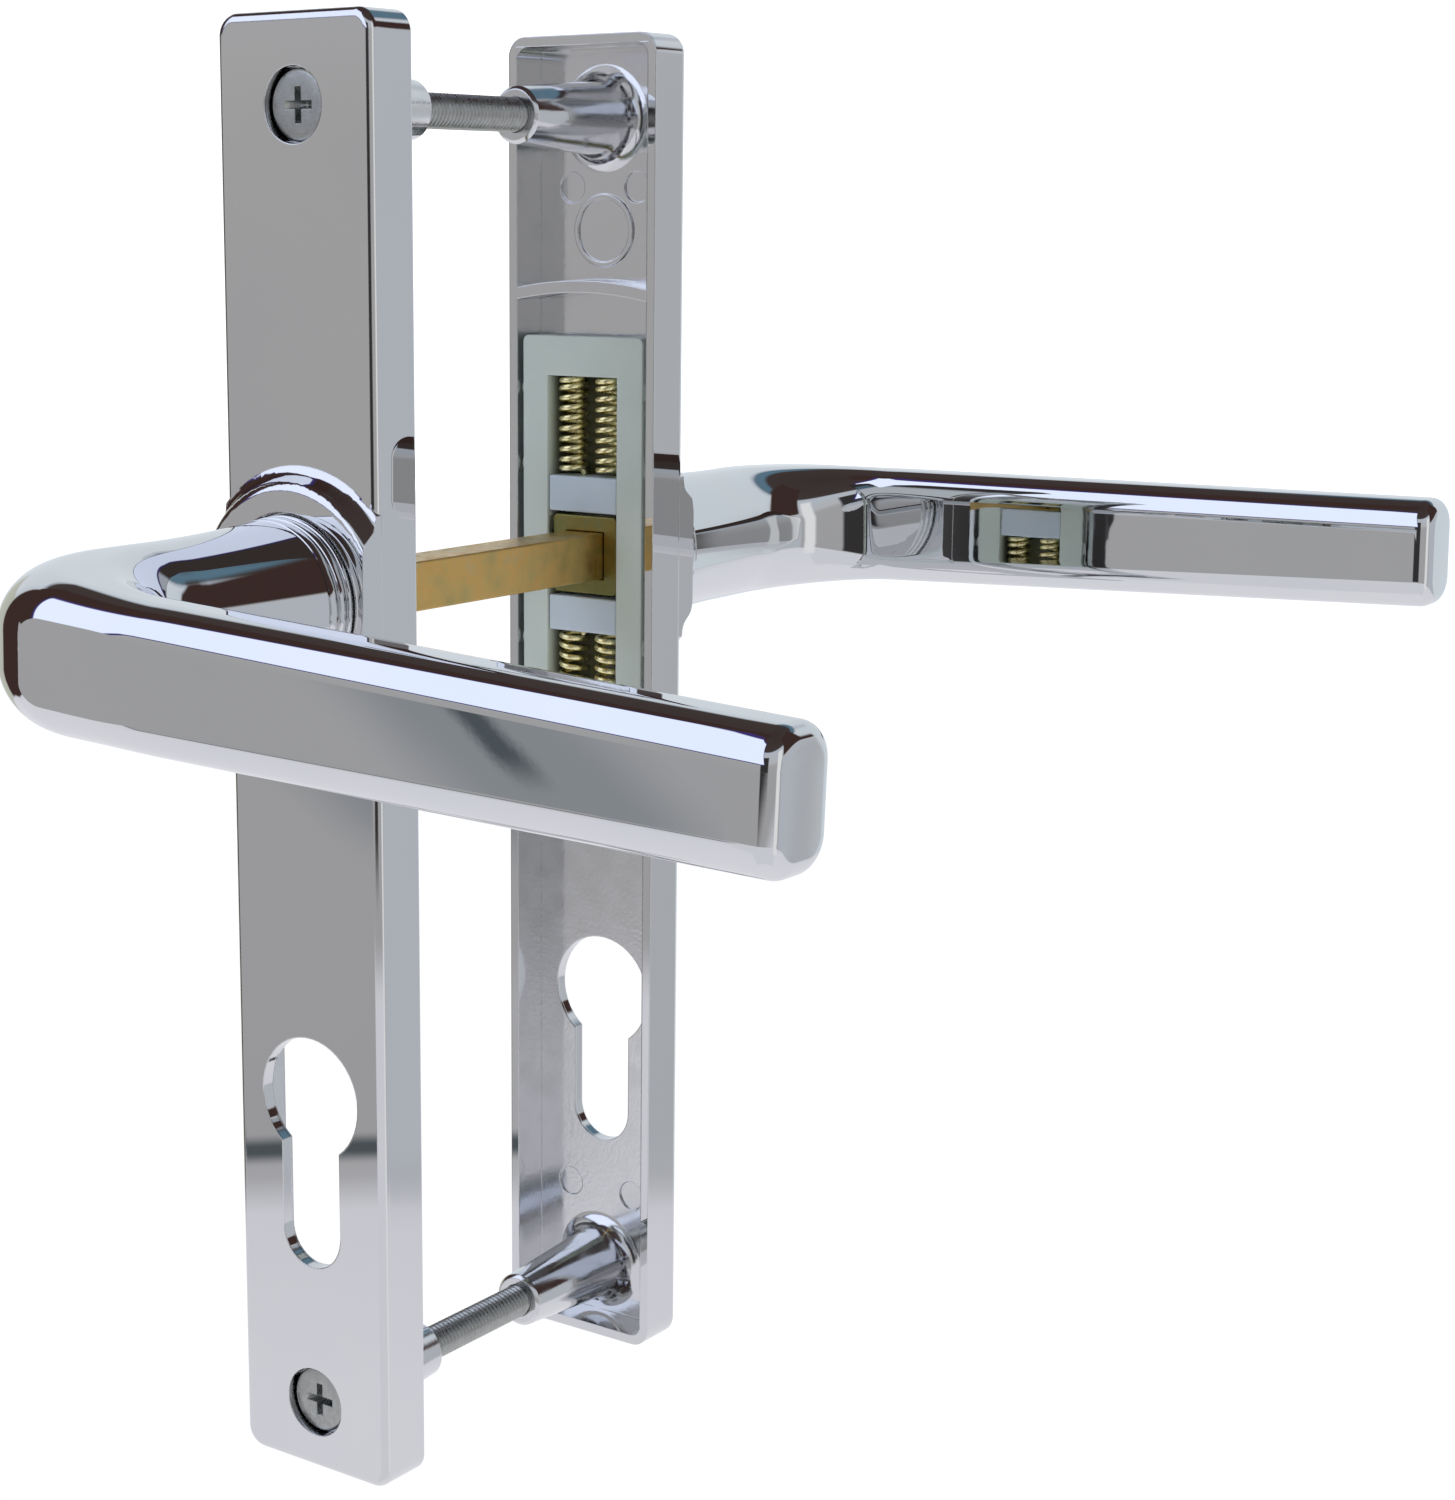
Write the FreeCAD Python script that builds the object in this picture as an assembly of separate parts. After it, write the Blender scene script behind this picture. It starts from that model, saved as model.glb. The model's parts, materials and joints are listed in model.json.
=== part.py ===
import FreeCAD, Part
import math
import os

V = FreeCAD.Vector

# A pair of sprung door levers on long backplates, as mounted either side of a door that is left out.
# Millimetres. The origin is on the spindle axis, midway between the two plates. +Z is up, +X is the way
# both levers point, and the front set stands on the -Y side. Every part is drawn for the front set and
# turned round for the rear one. A "depth" below is a distance from the origin along -Y.

# Door space and backplate
RIM_DEPTH = 27.5
PLATE_WIDTH = 27.0
PLATE_TOP = 77.0
PLATE_BOTTOM = -125.0
FACE_DEPTH = 35.5
FACE_THICKNESS = 2.0
WALL = 1.5
PLATE_CORNER_RADIUS = 3.0
PLATE_EDGE_RADIUS = 1.2
HOLLOW_CORNER_RADIUS = 2.0
FLOOR_DEPTH = FACE_DEPTH - FACE_THICKNESS

# Round collar on the plate's face
COLLAR_DEPTH = 38.3
COLLAR_BASE_RADIUS = 18.2
COLLAR_TOP_RADIUS = 14.8
COLLAR_SWEEP = 2.2
RECESS_RADIUS = 12.1
RECESS_DEPTH = 36.6
BUSH_SEAT_RADIUS = 9.25

# Profile cylinder cutout, its round part centred below the spindle
CYLINDER_DISTANCE = 70.0
CUTOUT_RADIUS = 8.75
CUTOUT_SLOT_WIDTH = 10.5
CUTOUT_HEIGHT = 33.5

# Fixing screws and the bosses they pass through
SCREW_HEIGHTS = (65.0, -115.0)
SCREW_RADIUS = 2.48
SCREW_HOLE_RADIUS = 2.75
TAPPED_RADIUS = 2.5
TAPPED_END_DEPTH = 32.5
SCREW_END_DEPTH = 28.0
HEAD_RADIUS = 4.7
HEAD_TOP_DEPTH = 34.5
HEAD_SEAT_DEPTH = 31.9
HEAD_EDGE_RADIUS = 0.5
CROSS_LENGTH = 4.8
CROSS_WIDTH = 1.1
CROSS_DEPTH = 1.6
COUNTERBORE_RADIUS = 5.0
BOSS_TIP_DEPTH = 11.5
BOSS_TIP_RADIUS = 4.1
BOSS_ROOT_RADIUS = 5.4
BOSS_FOOT_RADIUS = 7.9
BOSS_FOOT_HEIGHT = 3.2
BOSS_TIP_CHAMFER = 0.5

# Marks and rib inside the plate
RIB_HEIGHT = 40.0
RIB_RISE = 1.3
RIB_THICKNESS = 1.8
EJECTOR_HEIGHTS = (55.0, -103.0)
EJECTOR_OFFSET = 6.0
EJECTOR_RADIUS = 2.3
MARK_RELIEF = 0.3
RING_MARK_HEIGHT = 48.6
RING_MARK_RADIUS = 5.4
RING_MARK_WIDTH = 0.7

# Lever: shank through the plate, beaded base, neck, bend and grip
SHANK_RADIUS = 8.0
SHANK_END_DEPTH = 31.5
CLIP_GROOVE = (31.7, 32.9)
CLIP_GROOVE_RADIUS = 7.0
BASE_START_DEPTH = 37.6
BEADS = ((39.4, 11.8), (40.9, 11.65), (42.4, 11.5))
BEAD_GROOVE_WIDTH = 0.35
BEAD_GROOVE_DEPTH = 0.45
NECK_START_DEPTH = 41.5
NECK_START_RADIUS = 11.4
NECK_END_RADIUS = 10.4
NECK_STATIONS = 4
GRIP_FACE_DEPTH = 89.2
GRIP_THICKNESS = 10.7
GRIP_END = 112.1
GRIP_HEIGHT_AT_BEND = 18.0
GRIP_HEIGHT_AT_END = 15.7
GRIP_FILLET = 4.2
TIP_ROUNDING = 2.3
BEND_OUTER_RADIUS = 18.3
BEND_BULGE = 0.9
BEND_INNER_RADIUS = 12.0
BEND_PIVOT = (25.0, 63.0)
BEND_STATIONS = 10
TIP_STATIONS = 5
GRIP_OFFSET = -0.9
GRIP_SLANT = 1.4
FRONT_GRIP_TILT = 2.0
REAR_GRIP_TILT = 1.0
SMALLEST_FLAT = 0.15

# Spindle and the square sockets it fits
SPINDLE_SIZE = 7.0
SPINDLE_END_DEPTH = 60.0
SOCKET_SIZE = 7.15
SOCKET_END_DEPTH = 62.0

# Bush, washer and clip that carry and hold the lever
BUSH_BORE_RADIUS = 8.06
BUSH_SLEEVE_RADIUS = 9.2
BUSH_FLANGE = (36.65, 37.5)
BUSH_FLANGE_RADIUS = 11.8
WASHER = (32.95, 33.4)
WASHER_RADII = (8.2, 10.2)
CLIP = (31.8, 32.8)
CLIP_RADII = (7.1, 9.6)
CLIP_GAP_ANGLE = 70.0

# Spring cassette
CASSETTE = (27.9, 33.3)
CASSETTE_WIDTH = 22.2
CASSETTE_HALF_HEIGHT = 33.0
CASSETTE_FLOOR = 0.45
WINDOW_WIDTH = 13.0
WINDOW_HALF_HEIGHT = 27.0
CLIP_POCKET = (31.3, 10.6)
FOLLOWER_POCKET = (28.45, 8.6)
CRUSH_BUMPS = (25.0, 13.5, -13.5, -25.0)
CRUSH_BUMP_RADIUS = 1.5
CRUSH_BUMP_PROUD = 0.7
FOLLOWER = (28.6, 31.4)
FOLLOWER_SIZE = 12.0
FOLLOWER_CHAMFER = 0.5
SLIDER_DEPTHS = (28.1, 31.4)
SLIDER_LIP_DEPTH = 32.7
SLIDER_WIDTH = 12.7
SLIDER_START = 6.5
SLIDER_LIP_START = 10.9
SLIDER_END = 11.9
SPRING_DIAMETER = 4.6
SPRING_WIRE = 0.9
SPRING_OFFSET = 3.4
SPRING_DEPTH = 30.5


def y_at(depth):
    return -depth


def block(x_half, depths, z_low, z_high):
    """A block centred on x = 0 between two depths."""
    near, far = min(depths), max(depths)
    return Part.makeBox(2 * x_half, far - near, z_high - z_low, V(-x_half, y_at(far), z_low))


def disc(radius, depths, x=0.0, z=0.0):
    """A round bar along Y between two depths."""
    near, far = min(depths), max(depths)
    return Part.makeCylinder(radius, far - near, V(x, y_at(near), z), V(0, -1, 0))


def ring(radii, depths, x=0.0, z=0.0):
    return disc(max(radii), depths, x, z).cut(disc(min(radii), depths, x, z))


def turned(outline, z=0.0):
    """Revolve (radius, depth) points round an axis along Y at height z."""
    points = [V(radius, y_at(depth), z) for radius, depth in outline]
    face = Part.Face(Part.makePolygon(points + points[:1]))
    return face.revolve(V(0, 0, z), V(0, 1, 0), 360)


def rounded_edges(shape, radius, wanted):
    return shape.makeFillet(radius, [edge for edge in shape.Edges if wanted(edge)])


def runs_along_y(edge):
    ends = [vertex.Point for vertex in edge.Vertexes]
    return len(ends) == 2 and abs(ends[0].x - ends[1].x) < 0.01 and abs(ends[0].z - ends[1].z) < 0.01


def lies_at_depth(depth):
    def test(edge):
        box = edge.BoundBox
        return abs(-box.YMin - depth) < 0.01 and abs(-box.YMax - depth) < 0.01
    return test


# ---------------------------------------------------------------- backplate

def plate_outer():
    body = block(PLATE_WIDTH / 2, (RIM_DEPTH, FACE_DEPTH), PLATE_BOTTOM, PLATE_TOP)
    body = rounded_edges(body, PLATE_CORNER_RADIUS, runs_along_y)
    return rounded_edges(body, PLATE_EDGE_RADIUS, lies_at_depth(FACE_DEPTH))


def collar():
    """The raised collar with its S-shaped flank, cut off flush with the plate's side walls."""
    flank = Part.BezierCurve()
    flank.setPoles([V(COLLAR_BASE_RADIUS, y_at(FACE_DEPTH), 0),
                    V(COLLAR_BASE_RADIUS - COLLAR_SWEEP, y_at(FACE_DEPTH), 0),
                    V(COLLAR_TOP_RADIUS + COLLAR_SWEEP, y_at(COLLAR_DEPTH), 0),
                    V(COLLAR_TOP_RADIUS, y_at(COLLAR_DEPTH), 0)])
    inner_depth = FLOOR_DEPTH + FACE_THICKNESS / 2
    rest = Part.makePolygon([V(COLLAR_TOP_RADIUS, y_at(COLLAR_DEPTH), 0), V(0, y_at(COLLAR_DEPTH), 0),
                             V(0, y_at(inner_depth), 0), V(COLLAR_BASE_RADIUS, y_at(inner_depth), 0),
                             V(COLLAR_BASE_RADIUS, y_at(FACE_DEPTH), 0)])
    wire = Part.Wire(Part.__sortEdges__([flank.toShape()] + rest.Edges))
    solid = Part.Face(wire).revolve(V(0, 0, 0), V(0, 1, 0), 360)
    return solid.common(block(PLATE_WIDTH / 2, (RIM_DEPTH, COLLAR_DEPTH + 1),
                              -COLLAR_BASE_RADIUS, COLLAR_BASE_RADIUS))


def plate_hollow():
    hollow = block(PLATE_WIDTH / 2 - WALL, (RIM_DEPTH - 1, FLOOR_DEPTH),
                   PLATE_BOTTOM + WALL, PLATE_TOP - WALL)
    return rounded_edges(hollow, HOLLOW_CORNER_RADIUS, runs_along_y)


def cross_rib():
    """An arched rib across the hollow above the cassette, level with the rim."""
    half = PLATE_WIDTH / 2 - WALL / 2
    arch_radius = (half ** 2 + RIB_RISE ** 2) / (2 * RIB_RISE)
    centre = RIB_HEIGHT + RIB_RISE - arch_radius
    span = (RIM_DEPTH, FLOOR_DEPTH + FACE_THICKNESS / 2)
    arch = ring((arch_radius, arch_radius - RIB_THICKNESS), span, 0, centre)
    return arch.common(block(half, span, RIB_HEIGHT - 2 * RIB_THICKNESS, RIB_HEIGHT + RIB_RISE + 1))


def boss(height):
    """A tapering tube that stands on a flared foot and reaches past the rim into the door."""
    root_depth = FLOOR_DEPTH - BOSS_FOOT_HEIGHT
    taper = [(0, BOSS_TIP_DEPTH), (BOSS_TIP_RADIUS - BOSS_TIP_CHAMFER, BOSS_TIP_DEPTH),
             (BOSS_TIP_RADIUS, BOSS_TIP_DEPTH + BOSS_TIP_CHAMFER), (BOSS_ROOT_RADIUS, root_depth)]
    flare = BOSS_FOOT_RADIUS - BOSS_ROOT_RADIUS
    steps = 6
    for step in range(1, steps + 1):
        angle = math.pi / 2 * step / steps
        taper.append((BOSS_ROOT_RADIUS + flare * (1 - math.cos(angle)),
                      root_depth + BOSS_FOOT_HEIGHT * math.sin(angle)))
    end = FLOOR_DEPTH + FACE_THICKNESS / 2
    taper += [(BOSS_FOOT_RADIUS, end), (0, end)]
    return turned(taper, height)


def cylinder_cutout():
    span = (RIM_DEPTH - 1, FACE_DEPTH + 1)
    centre = -CYLINDER_DISTANCE
    slot_radius = CUTOUT_SLOT_WIDTH / 2
    slot_centre = centre + CUTOUT_RADIUS - CUTOUT_HEIGHT + slot_radius
    round_part = disc(CUTOUT_RADIUS, span, 0, centre)
    slot = block(slot_radius, span, slot_centre, centre)
    return round_part.fuse([slot, disc(slot_radius, span, 0, slot_centre)])


def casting_marks(shape):
    """Ejector pin discs and one plain raised ring on the hollow's floor."""
    for height in EJECTOR_HEIGHTS:
        for side in (-1, 1):
            shape = shape.cut(disc(EJECTOR_RADIUS, (FLOOR_DEPTH - 1, FLOOR_DEPTH + MARK_RELIEF),
                                   side * EJECTOR_OFFSET, height))
    mark = ring((RING_MARK_RADIUS, RING_MARK_RADIUS - RING_MARK_WIDTH),
                (FLOOR_DEPTH - MARK_RELIEF, FLOOR_DEPTH + MARK_RELIEF), 0, RING_MARK_HEIGHT)
    return shape.fuse(mark)


def backplate(screws_enter):
    """One plate. The screws enter through the front one and are tapped into the rear one."""
    shape = plate_outer().fuse(collar())
    shape = shape.cut(plate_hollow())
    shape = shape.fuse([cross_rib()] + [boss(height) for height in SCREW_HEIGHTS])
    shape = casting_marks(shape)
    shape = shape.cut(cylinder_cutout())
    shape = shape.cut(disc(RECESS_RADIUS, (RECESS_DEPTH, COLLAR_DEPTH + 1)))
    shape = shape.cut(disc(BUSH_SEAT_RADIUS, (RIM_DEPTH, RECESS_DEPTH)))
    for height in SCREW_HEIGHTS:
        if screws_enter:
            shape = shape.cut(disc(SCREW_HOLE_RADIUS, (BOSS_TIP_DEPTH - 1, FACE_DEPTH), 0, height))
            shape = shape.cut(disc(COUNTERBORE_RADIUS, (HEAD_SEAT_DEPTH, FACE_DEPTH + 1), 0, height))
        else:
            shape = shape.cut(disc(TAPPED_RADIUS, (BOSS_TIP_DEPTH - 1, TAPPED_END_DEPTH), 0, height))
    return shape.removeSplitter()


# ---------------------------------------------------------------- lever

def bend_reach(angle, side, face, radius):
    """How far from the bend's pivot, at this angle, an outline with a rounded corner lies."""
    start_x, start_depth = BEND_PIVOT
    along_x, along_depth = -math.cos(angle), math.sin(angle)
    centre_x, centre_depth = side + radius, face - radius
    if along_x < -1e-9:
        reach = (side - start_x) / along_x
        if start_depth + reach * along_depth <= centre_depth:
            return reach
    if along_depth > 1e-9:
        reach = (face - start_depth) / along_depth
        if start_x + reach * along_x >= centre_x:
            return reach
    from_x, from_depth = start_x - centre_x, start_depth - centre_depth
    middle = from_x * along_x + from_depth * along_depth
    apart = from_x ** 2 + from_depth ** 2 - radius ** 2
    return -middle + math.sqrt(middle ** 2 - apart)


def section(centre_x, centre_depth, angle, half_thick, half_high, corner, raised=0.0):
    """A closed rounded rectangle across the lever, turned from the neck (0) to the grip (90 degrees)."""
    corner = min(corner, half_thick - SMALLEST_FLAT, half_high - SMALLEST_FLAT)
    flat_thick, flat_high = half_thick - corner, half_high - corner

    def at(across, up):
        return V(centre_x - across * math.cos(angle), y_at(centre_depth + across * math.sin(angle)), raised + up)

    bow = corner * math.sqrt(0.5)
    edges = []
    for sign_thick, sign_high in ((1, 1), (-1, 1), (-1, -1), (1, -1)):
        thick, high = sign_thick * flat_thick, sign_high * flat_high
        on_side = at(thick + sign_thick * corner, high)
        between = at(thick + sign_thick * bow, high + sign_high * bow)
        on_top = at(thick, high + sign_high * corner)
        if sign_thick * sign_high > 0:
            edges.append(Part.Arc(on_side, between, on_top).toShape())
            edges.append(Part.LineSegment(on_top, at(-thick, high + sign_high * corner)).toShape())
        else:
            edges.append(Part.Arc(on_top, between, on_side).toShape())
            edges.append(Part.LineSegment(on_side, at(thick + sign_thick * corner, -high)).toShape())
    return Part.Wire(edges)


def smooth(t):
    return t * t * (3 - 2 * t)


def mix(a, b, t):
    return a + (b - a) * t


def neck_section(t):
    """The section at t from the beaded base (0) to the bend (1), flaring to the base, leaning at the bend."""
    radius = mix(NECK_END_RADIUS, NECK_START_RADIUS, (1 - t) ** 2)
    lean = -math.radians(GRIP_SLANT) * smooth(t)
    return section(0, mix(NECK_START_DEPTH, BEND_PIVOT[1], t), lean, radius, radius, radius)


def bend_section(t):
    """The section at t from the neck's end (0) to the grip's start (1)."""
    angle = math.pi / 2 * t
    bulge = BEND_BULGE * (1 - smooth(t))
    outer = bend_reach(angle, -NECK_END_RADIUS, GRIP_FACE_DEPTH + bulge, BEND_OUTER_RADIUS)
    inner = bend_reach(angle, NECK_END_RADIUS, GRIP_FACE_DEPTH - GRIP_THICKNESS, BEND_INNER_RADIUS)
    middle = (outer + inner) / 2
    return section(BEND_PIVOT[0] - middle * math.cos(angle),
                   BEND_PIVOT[1] + middle * math.sin(angle), angle, (outer - inner) / 2,
                   mix(NECK_END_RADIUS, GRIP_HEIGHT_AT_BEND / 2, smooth(t)),
                   mix(NECK_END_RADIUS, GRIP_FILLET, smooth(t)), GRIP_OFFSET * smooth(t))


def grip_section(x, height, inset=0.0):
    return section(x, GRIP_FACE_DEPTH - GRIP_THICKNESS / 2, math.pi / 2,
                   GRIP_THICKNESS / 2 - inset, height / 2 - inset, GRIP_FILLET - inset, GRIP_OFFSET)


def tip_section(t):
    """The section at t from the grip's straight end (0) to its flat end face (1)."""
    angle = math.pi / 2 * t
    return grip_section(GRIP_END - TIP_ROUNDING * (1 - math.sin(angle)), GRIP_HEIGHT_AT_END,
                        TIP_ROUNDING * (1 - math.cos(angle)))


def lever_skin():
    """Neck, bend, grip and tip, each lofted on from the section where the last one ends.

    The bend and all beyond it slant away from the door a little."""
    neck = [neck_section(index / NECK_STATIONS) for index in range(NECK_STATIONS + 1)]
    bend = [bend_section(index / BEND_STATIONS) for index in range(BEND_STATIONS + 1)]
    tip = [tip_section(index / TIP_STATIONS) for index in range(TIP_STATIONS + 1)]
    grip = Part.makeLoft([bend[-1], tip[0]], True, True)
    arm = Part.makeLoft(bend, True, False).fuse([grip, Part.makeLoft(tip, True, False)])
    arm = arm.cut(block(GRIP_END, (GRIP_FACE_DEPTH, GRIP_FACE_DEPTH + 5), -GRIP_END, GRIP_END))
    arm.rotate(V(0, y_at(BEND_PIVOT[1]), 0), V(0, 0, 1), -GRIP_SLANT)
    return Part.makeLoft(neck, True, False).fuse(arm)


def lever_base():
    """The shank with its clip groove, and the beads that fill the collar."""
    outline = [(0, SHANK_END_DEPTH), (SHANK_RADIUS, SHANK_END_DEPTH),
               (SHANK_RADIUS, CLIP_GROOVE[0]), (CLIP_GROOVE_RADIUS, CLIP_GROOVE[0]),
               (CLIP_GROOVE_RADIUS, CLIP_GROOVE[1]), (SHANK_RADIUS, CLIP_GROOVE[1]),
               (SHANK_RADIUS, BASE_START_DEPTH)]
    depth = BASE_START_DEPTH
    for end_depth, radius in BEADS:
        groove = radius - BEAD_GROOVE_DEPTH
        outline += [(radius, depth), (radius, end_depth - BEAD_GROOVE_WIDTH),
                    (groove, end_depth - BEAD_GROOVE_WIDTH), (groove, end_depth)]
        depth = end_depth
    outline.append((0, depth))
    return turned(outline)


def lever(grip_tilt):
    body = lever_skin()
    body.rotate(V(0, 0, 0), V(0, 1, 0), grip_tilt)
    body = body.fuse(lever_base())
    return body.cut(square_bar(SOCKET_SIZE, SHANK_END_DEPTH - 1, SOCKET_END_DEPTH))


# ---------------------------------------------------------------- spindle, bearing and clip

def square_bar(size, near, far):
    return block(size / 2, (near, far), -size / 2, size / 2)


def spindle():
    bar = Part.makeBox(SPINDLE_SIZE, 2 * SPINDLE_END_DEPTH, SPINDLE_SIZE,
                       V(-SPINDLE_SIZE / 2, -SPINDLE_END_DEPTH, -SPINDLE_SIZE / 2))
    ends = [edge for edge in bar.Edges
            if abs(abs(edge.BoundBox.YMin) - SPINDLE_END_DEPTH) < 0.01 and not runs_along_y(edge)]
    return bar.makeChamfer(SPINDLE_SIZE / 10, ends)


def lever_bush():
    sleeve = ring((BUSH_BORE_RADIUS, BUSH_SLEEVE_RADIUS), (FLOOR_DEPTH, BUSH_FLANGE[0]))
    flange = ring((BUSH_BORE_RADIUS, BUSH_FLANGE_RADIUS), BUSH_FLANGE)
    return sleeve.fuse(flange).removeSplitter()


def thrust_washer():
    return ring(WASHER_RADII, WASHER)


def retaining_clip():
    """An open ring sprung into the shank's groove, its gap towards -X."""
    band = ring(CLIP_RADII, CLIP)
    half = math.radians(CLIP_GAP_ANGLE / 2)
    far = 2 * CLIP_RADII[1]
    corners = [V(0, y_at(CLIP[0]), 0),
               V(-far * math.cos(half), y_at(CLIP[0]), far * math.sin(half)),
               V(-far * math.cos(half), y_at(CLIP[0]), -far * math.sin(half))]
    wedge = Part.Face(Part.makePolygon(corners + corners[:1])).extrude(V(0, CLIP[0] - CLIP[1], 0))
    return band.cut(wedge)


# ---------------------------------------------------------------- spring cassette

def cassette_frame():
    """The housing: a window for shoes and springs, with round pockets behind its face for follower and clip."""
    frame = block(CASSETTE_WIDTH / 2, CASSETTE, -CASSETTE_HALF_HEIGHT, CASSETTE_HALF_HEIGHT)
    frame = rounded_edges(frame, 1.0, runs_along_y)
    for side in (-1, 1):
        for height in CRUSH_BUMPS:
            centre = side * (CASSETTE_WIDTH / 2 + CRUSH_BUMP_PROUD - CRUSH_BUMP_RADIUS)
            frame = frame.fuse(disc(CRUSH_BUMP_RADIUS, (CASSETTE[0] + 0.6, CASSETTE[1]), centre, height))
    window = block(WINDOW_WIDTH / 2, (CASSETTE[0] - 1, CASSETTE[1] - CASSETTE_FLOOR),
                   -WINDOW_HALF_HEIGHT, WINDOW_HALF_HEIGHT)
    frame = frame.cut(window)
    for pocket_depth, pocket_radius in (FOLLOWER_POCKET, CLIP_POCKET):
        frame = frame.cut(disc(pocket_radius, (pocket_depth, CASSETTE[1] + 1)))
    return frame.removeSplitter()


def follower():
    half = FOLLOWER_SIZE / 2
    shape = block(half, FOLLOWER, -half, half)
    shape = shape.makeChamfer(FOLLOWER_CHAMFER, [edge for edge in shape.Edges if runs_along_y(edge)])
    return shape.cut(square_bar(SOCKET_SIZE, FOLLOWER[0] - 1, FOLLOWER[1] + 1))


def upper_slider():
    """The shoe that the follower lifts, with a deeper lip that the two springs stand on."""
    shoe = block(SLIDER_WIDTH / 2, SLIDER_DEPTHS, SLIDER_START, SLIDER_END)
    lip = block(SLIDER_WIDTH / 2, (SLIDER_DEPTHS[0], SLIDER_LIP_DEPTH), SLIDER_LIP_START, SLIDER_END)
    return shoe.fuse(lip).removeSplitter()


def upper_spring(side):
    """One compression spring as a plain sleeve of the coil's outer and inner size."""
    outer = SPRING_DIAMETER / 2
    length = WINDOW_HALF_HEIGHT - SLIDER_END
    foot = V(side * SPRING_OFFSET, y_at(SPRING_DEPTH), SLIDER_END)
    return Part.makeCylinder(outer, length, foot).cut(
        Part.makeCylinder(outer - SPRING_WIRE, length, foot))


# ---------------------------------------------------------------- screws

def fixing_screw(height):
    head = disc(HEAD_RADIUS, (HEAD_SEAT_DEPTH, HEAD_TOP_DEPTH), 0, height)
    head = rounded_edges(head, HEAD_EDGE_RADIUS, lies_at_depth(HEAD_TOP_DEPTH))
    span = (HEAD_TOP_DEPTH - CROSS_DEPTH, HEAD_TOP_DEPTH + 1)
    long_half, short_half = CROSS_LENGTH / 2, CROSS_WIDTH / 2
    head = head.cut(block(long_half, span, height - short_half, height + short_half))
    head = head.cut(block(short_half, span, height - long_half, height + long_half))
    length = HEAD_SEAT_DEPTH + SCREW_END_DEPTH
    shaft = Part.makeCylinder(SCREW_RADIUS, length, V(0, -HEAD_SEAT_DEPTH, height), V(0, 1, 0))
    end = [edge for edge in shaft.Edges if abs(edge.BoundBox.YMin - SCREW_END_DEPTH) < 0.01]
    return head.fuse(shaft.makeChamfer(SCREW_RADIUS / 4, end))


# ---------------------------------------------------------------- assembly

def turn_about_z(shape):
    copy = shape.copy()
    copy.rotate(V(0, 0, 0), V(0, 0, 1), 180)
    return copy


def turn_about_x(shape):
    copy = shape.copy()
    copy.rotate(V(0, 0, 0), V(1, 0, 0), 180)
    return copy


def turn_about_y(shape):
    copy = shape.copy()
    copy.rotate(V(0, 0, 0), V(0, 1, 0), 180)
    return copy


def front_cassette_set():
    """The cassette's parts in the front plate, by the second half of their names."""
    sliders = {"upper": upper_slider()}
    sliders["lower"] = turn_about_y(sliders["upper"])
    springs = {"upper_left": upper_spring(-1), "upper_right": upper_spring(1)}
    springs["lower_right"] = turn_about_y(springs["upper_left"])
    springs["lower_left"] = turn_about_y(springs["upper_right"])
    parts = {"cassette_frame": cassette_frame(), "follower": follower()}
    for name, shape in sliders.items():
        parts[name + "_slider"] = shape
    for name, shape in springs.items():
        parts[name + "_spring"] = shape
    return parts


def mirrored_side(name):
    """Left and right are told from the front, so they change over when a part is turned about Z."""
    swap = {"left": "right", "right": "left"}
    return "_".join(swap.get(word, word) for word in name.split("_"))


def main():
    nodes = {"front_backplate": backplate(True), "rear_backplate": turn_about_z(backplate(False))}
    nodes["front_lever"] = lever(FRONT_GRIP_TILT)
    nodes["rear_lever"] = turn_about_x(lever(REAR_GRIP_TILT))
    nodes["spindle"] = spindle()
    for name, shape in front_cassette_set().items():
        nodes["front_" + name] = shape
        nodes["rear_" + mirrored_side(name)] = turn_about_z(shape)
    held = {"lever_bush": lever_bush(), "thrust_washer": thrust_washer(), "retaining_clip": retaining_clip()}
    for name, shape in held.items():
        nodes["front_" + name] = shape
        nodes["rear_" + name] = turn_about_z(shape)
    nodes["fixing_screws"] = Part.makeCompound([fixing_screw(height) for height in SCREW_HEIGHTS])

    os.makedirs("parts", exist_ok=True)
    for name, shape in nodes.items():
        shape.exportStep("parts/" + name + ".step")
        print(name, len(shape.Solids), shape.isValid(), round(shape.Volume, 1))


main()
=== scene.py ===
import json
import math

import bmesh
import bpy
from mathutils import Matrix, Vector


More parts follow.
